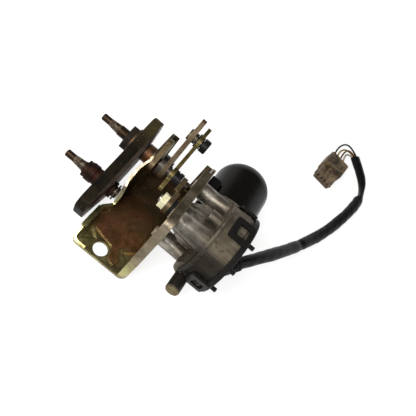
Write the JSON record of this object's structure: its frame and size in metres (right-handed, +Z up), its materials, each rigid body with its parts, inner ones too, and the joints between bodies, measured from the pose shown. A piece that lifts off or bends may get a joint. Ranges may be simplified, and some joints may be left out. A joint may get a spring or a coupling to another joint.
{
  "type": "wiper motor",
  "caption": "Wiper motor assembly: worm-gear motor on a folded bracket, a crank and rod rocking one of two parallel wiper spindles, and a lead with a plug.",
  "frame": {"origin": "centre of the rigid assembly's box at the level of the surface that the bracket's web lies on", "axes": "+X from the wiper spindle tips to the gearbox cover, +Y along the motor towards its closed end, +Z up from the bracket's web"},
  "size_m": [0.3321, 0.4248, 0.1081],
  "materials": {
    "zinc_yellow": "yellow passivated zinc plating, iridescent",
    "olive_steel": "dark olive coating, worn at the edges",
    "plate_steel": "pinkish brown passivated sheet",
    "sleeve_steel": "grey steel with rust at the end",
    "bronze": "oiled sintered bronze",
    "spindle_steel": "turned steel, copper-brown on the shank",
    "black_nut": "black phosphated",
    "rusty_steel": "rusted steel",
    "rod_steel": "olive-yellow passivated sheet",
    "lever_steel": "tan-brown passivated plate",
    "black_plastic": "moulded black plastic",
    "zinc_bright": "bright zinc plating",
    "rubber": "black rubber",
    "cast_aluminium": "raw die-cast aluminium",
    "brass": "dulled brass",
    "black_paint": "black satin paint",
    "ferrite": "sintered ferrite",
    "laminated_steel": "stacked laminations",
    "copper": "enamelled copper",
    "gear_plastic": "natural acetal",
    "carbon": "pressed carbon",
    "vinyl": "black vinyl sleeve",
    "nylon": "dirty natural nylon",
    "wire_black": "insulated wire",
    "wire_yellow": "insulated wire",
    "wire_brown": "insulated wire",
    "wire_white": "insulated wire"
  },
  "bodies": {
    "frame": {"bracket": "zinc_yellow", "spindle_bar": "olive_steel", "bar_plate": "plate_steel", "drive_sleeve": "sleeve_steel", "drive_bushes": "bronze", "spindle_nut": "black_nut", "spindle_washer": "black_nut", "sleeve_plate": "lever_steel", "idler_collar": "rusty_steel", "idler_bush": "bronze", "output_bush": "bronze", "shaft_seal": "rubber", "gear_housing": "cast_aluminium", "mounting_bolts": "zinc_bright", "gear_cover": "black_plastic", "cover_seal": "rubber", "park_contacts": "copper", "boss_plug": "brass", "front_bearing": "zinc_bright", "can_screws": "black_nut", "motor_can": "black_paint", "terminal_block": "black_plastic", "field_magnets": "ferrite", "brush_plate": "gear_plastic", "brushes": "carbon", "rear_bush": "bronze", "lead_boot": "rubber", "lead_sleeve": "vinyl", "connector": "nylon", "wire_black": "wire_black", "wire_yellow": "wire_yellow", "wire_brown": "wire_brown", "wire_white": "wire_white"},
    "crank": {"output_shaft": "zinc_bright", "worm_wheel": "gear_plastic", "park_ring": "copper", "crank_arm": "lever_steel", "crank_nut": "zinc_bright", "crank_end_nut": "zinc_bright"},
    "armature": {"armature_shaft": "spindle_steel", "armature_core": "laminated_steel", "windings": "copper", "commutator": "copper"},
    "drive_spindle_body": {"drive_spindle": "spindle_steel", "lever": "lever_steel", "lever_hub": "black_nut", "lever_pin": "zinc_bright", "lever_pin_cap": "black_plastic"},
    "link_rod_body": {"link_rod": "rod_steel", "rod_bush": "black_plastic", "crank_pin": "zinc_bright", "crank_pin_bush": "black_plastic"},
    "idler_spindle_body": {"idler_spindle": "spindle_steel", "idler_clip": "black_nut"}
  },
  "joints": [
    {"name": "crank_spin", "type": "hinge", "parent": "frame", "child": "crank", "pos_m": [0.0186, -0.0317, 0.0612], "axis": [1, 0, 0], "continuous": true},
    {"name": "armature_spin", "type": "hinge", "parent": "frame", "child": "armature", "pos_m": [0.0659, 0.0593, 0.0335], "axis": [0, 1, 0], "continuous": true},
    {"name": "drive_spindle_swing", "type": "hinge", "parent": "frame", "child": "drive_spindle_body", "pos_m": [-0.0514, 0.0129, 0.0482], "axis": [1, 0, 0], "range_deg": [0, 76]},
    {"name": "rod_swing", "type": "hinge", "parent": "drive_spindle_body", "child": "link_rod_body", "pos_m": [-0.0054, 0.03695, 0.0866], "axis": [1, 0, 0], "range_deg": [-84, 0]},
    {"name": "idler_spindle_swing", "type": "hinge", "parent": "frame", "child": "idler_spindle_body", "pos_m": [-0.0614, -0.04106, 0.03324], "axis": [1, 0, 0], "range_deg": [0, 76]}
  ],
  "couplings": [
    {"joint": "armature_spin", "follows": "crank_spin", "ratio": -50},
    {"joint": "rod_swing", "follows": "drive_spindle_swing", "ratio": -1.1}
  ]
}
